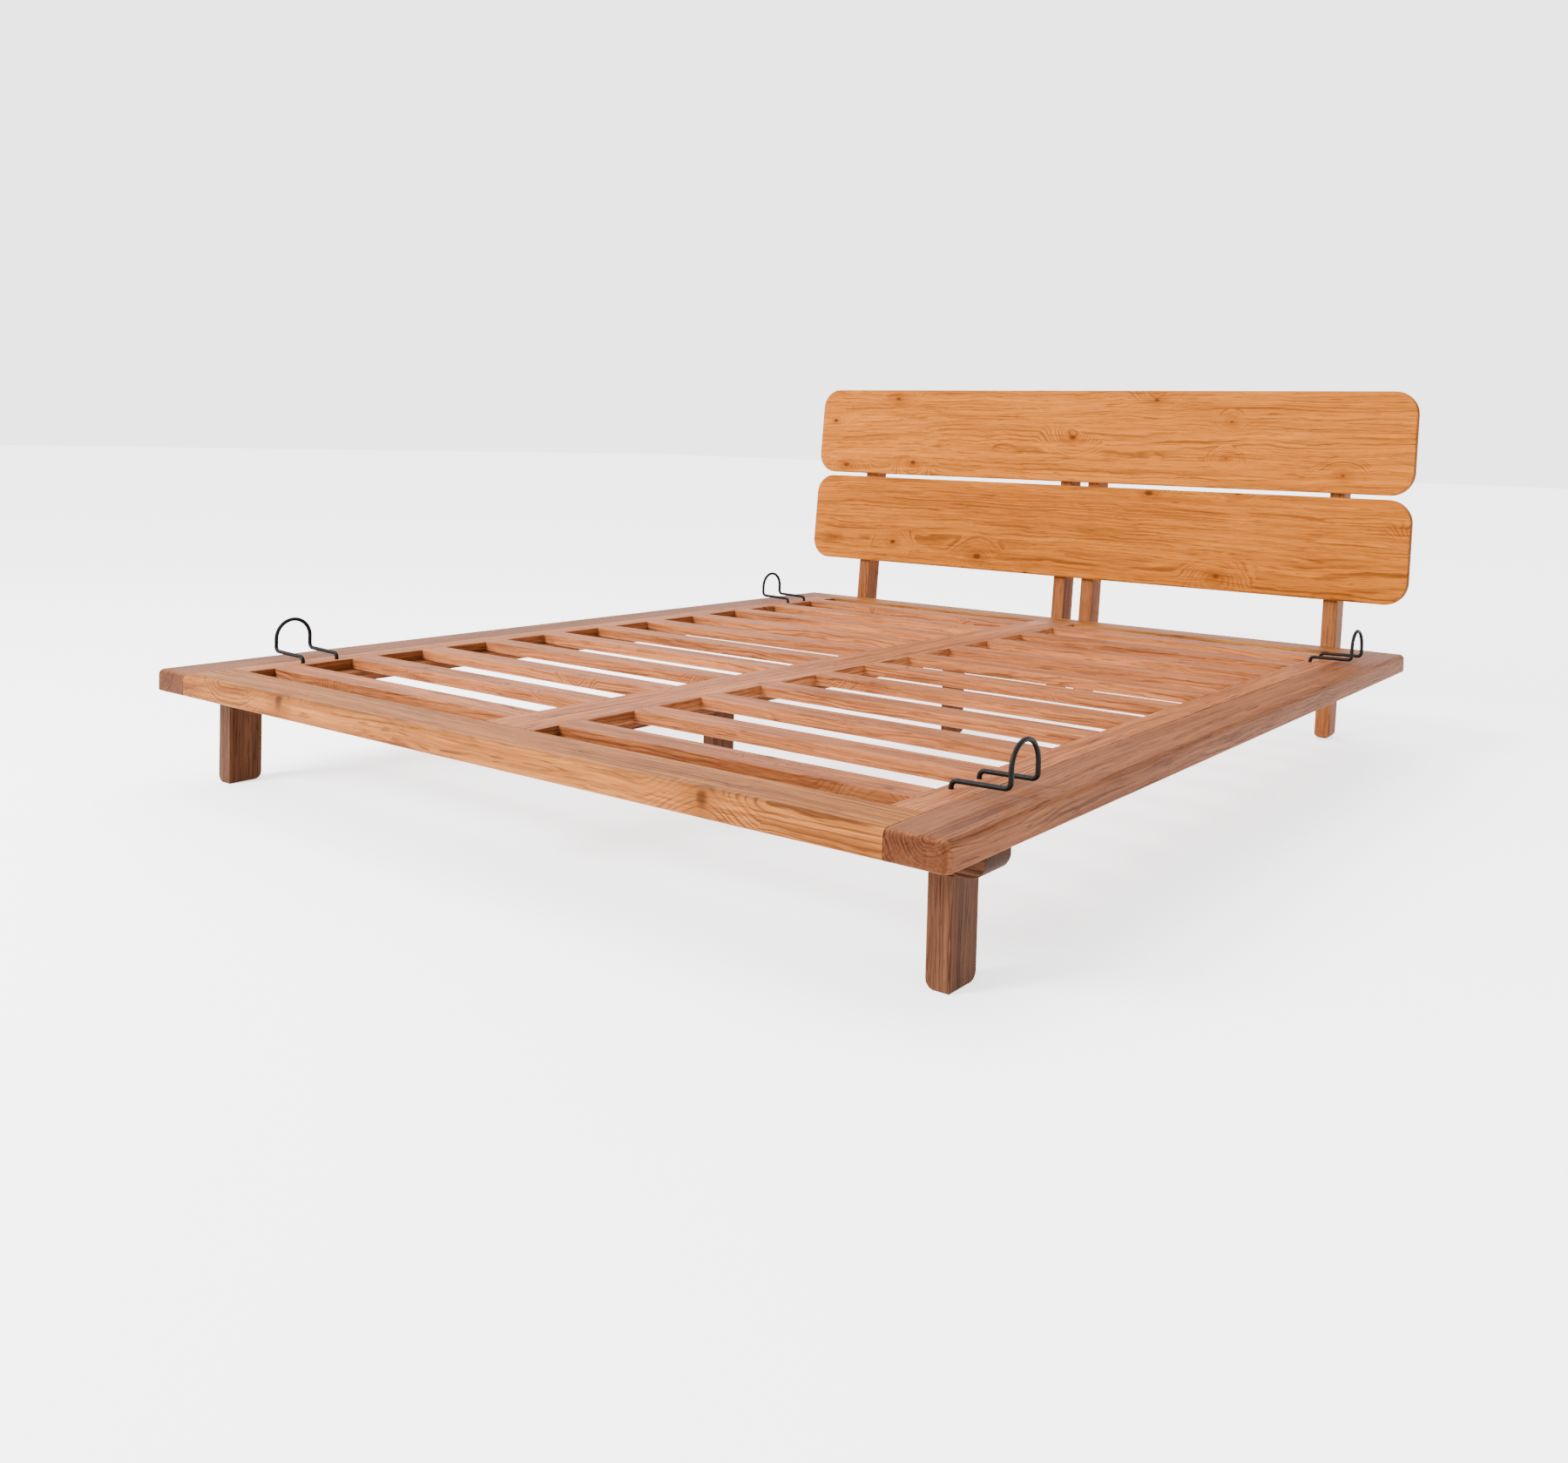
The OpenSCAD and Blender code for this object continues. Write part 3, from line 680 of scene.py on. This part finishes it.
# ---------- fixings ----------

def merge(parts, name):
    bm = bmesh.new()
    for part in parts:
        absorb(bm, part)
    return to_object(bm, name)


def screw_head(radius, height, recess, arms):
    """A head that rises along +Z, with a recess sunk into its top: arms is 6 for a hexagon, 4 for a cross."""
    bm = bmesh.new()
    n = 48
    outer, inner = [], []
    for k in range(n):
        a = 2 * math.pi * k / n
        outer.append((radius * math.cos(a), radius * math.sin(a)))
        if arms == 6:
            reach = recess * math.cos(math.pi / 6) / math.cos((a % (math.pi / 3)) - math.pi / 6)
        else:
            reach = recess * (0.34 + 0.66 * abs(math.cos(2 * a)) ** 6)
        inner.append((reach * math.cos(a), reach * math.sin(a)))
    rim = radius - 0.5 * MM
    rings = [(outer, 0.0, 1.0), (outer, height - 0.5 * MM, 1.0), (outer, height, rim / radius),
             (inner, height, 1.0), (inner, height * 0.35, 0.92)]
    loops = [[bm.verts.new((x * k, y * k, z)) for x, y in ring] for ring, z, k in rings]
    for one, two in zip(loops, loops[1:]):
        for k in range(n):
            bm.faces.new((one[k], one[(k + 1) % n], two[(k + 1) % n], two[k]))
    bm.faces.new(loops[0][::-1])
    bm.faces.new(loops[-1])
    return bm


SCREW_CAP_R, SCREW_CROSS_R = 4.7 * MM, 2.9 * MM

bolts, screws = [], []
for x in POST_X.values():
    bolts.append(aimed(screw_head(7.6 * MM, BOLT_HEAD, 4.2 * MM, 6), (x, bolt_seat, bolt_z), Y))
    for rise in SCREW_RISE:
        start = slope @ Vector((x, SCREW_SEAT, rise))
        screws.append(aimed(screw_head(SCREW_CAP_R, 4 * MM, SCREW_CROSS_R, 4), start, out_back))
place(merge(bolts, "bolt_heads"), "frame", "zinc_steel", "post_bolts")
place(merge(screws, "plank_screw_heads"), "frame", "zinc_steel", "plank_screws")

lo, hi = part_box("bearer_screws")
under = [aimed(screw_head(SCREW_CAP_R, 2 * MM, SCREW_CROSS_R, 4), (x, y, bearer_z + 1.7 * MM), (0, 0, -1))
         for x in (lo.x + SCREW_HEAD_R, hi.x - SCREW_HEAD_R)
         for y in (lo.y + SCREW_HEAD_R, hi.y - SCREW_HEAD_R)]
place(merge(under, "bearer_screw_heads"), "frame", "zinc_steel", "bearer_screws")

nut_y = (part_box("barrel_nuts")[0].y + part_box("barrel_nuts")[1].y) / 2
nuts = [aimed(screw_head(6.8 * MM, 3 * MM, 3.2 * MM, 4), (x, nut_y, frame_z + 2.8 * MM), (0, 0, -1))
        for x in POST_X.values()]
place(merge(nuts, "barrel_nut_ends"), "frame", "zinc_steel", "barrel_nuts")

# The corner dowels stay as CAD, sealed inside the rails
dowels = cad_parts["corner_dowels"]
dowels.data.materials.clear()
dowels.data.materials.append(MATERIALS["beech_dowel"])


# ---------- floor, light and camera ----------

floor_material, t, shader = new_material("pale_floor")
spread = t.noise(t.node("ShaderNodeTexCoord").outputs["Object"], (3.0, 3.0, 3.0), 3.0)
t.put(shader.inputs["Base Color"], t.mix(spread, (0.90, 0.90, 0.90, 1), (0.93, 0.93, 0.93, 1)))
shader.inputs["Roughness"].default_value = 0.85
shader.inputs["Specular IOR Level"].default_value = 0.15
shader.inputs["Emission Color"].default_value = (1.0, 1.0, 1.0, 1.0)
shader.inputs["Emission Strength"].default_value = 1.7
bm = bmesh.new()
bmesh.ops.create_grid(bm, x_segments=2, y_segments=2, size=40.0)
floor = to_object(bm, "studio_floor")
floor.data.materials.append(floor_material)

world = bpy.data.worlds.new("studio")
world.use_nodes = True
sky = Tree(world.node_tree)
backdrop = world.node_tree.nodes["Background"]
backdrop.inputs["Color"].default_value = (1.0, 1.0, 1.0, 1.0)
to_the_right = sky.split(sky.node("ShaderNodeTexCoord").outputs["Generated"])[0]
sky.put(backdrop.inputs["Strength"], sky.remap(to_the_right, -0.05, 0.80, 3.3, 0.7))
bpy.context.scene.world = world


def soft_light(name, location, target, size, power):
    data = bpy.data.lights.new(name, "AREA")
    data.shape, data.size, data.energy = "DISK", size, power
    obj = bpy.data.objects.new(name, data)
    obj.location = location
    obj.rotation_euler = (Vector(target) - Vector(location)).to_track_quat("-Z", "Y").to_euler()
    bpy.context.scene.collection.objects.link(obj)


soft_light("key", (-2.3, -5.4, 3.3), (0.1, 0.0, 0.3), 2.0, 820)
soft_light("top", (-0.9, -0.4, 5.2), (0.0, 0.0, 0.0), 2.2, 120)

YAW, PITCH, ROLL = 0.596137, 0.037594, 0.028399
forward = Vector((-math.sin(YAW) * math.cos(PITCH), math.cos(YAW) * math.cos(PITCH), -math.sin(PITCH)))
level_right = Vector((math.cos(YAW), math.sin(YAW), 0))
level_up = level_right.cross(forward)
right = level_right * math.cos(ROLL) + level_up * math.sin(ROLL)
up = level_up * math.cos(ROLL) - level_right * math.sin(ROLL)
camera_data = bpy.data.cameras.new("photo_camera")
camera_data.sensor_width = 36.0
camera_data.lens = 31.763
camera_data.shift_x = -0.0809
camera_data.shift_y = -0.1503
camera_data.clip_end = 200.0
camera = bpy.data.objects.new("photo_camera", camera_data)
bpy.context.scene.collection.objects.link(camera)
pose = Matrix((right, up, -forward)).transposed().to_4x4()
pose.translation = (1.86145, -2.57333, 0.736185)
camera.matrix_world = pose
bpy.context.scene.camera = camera
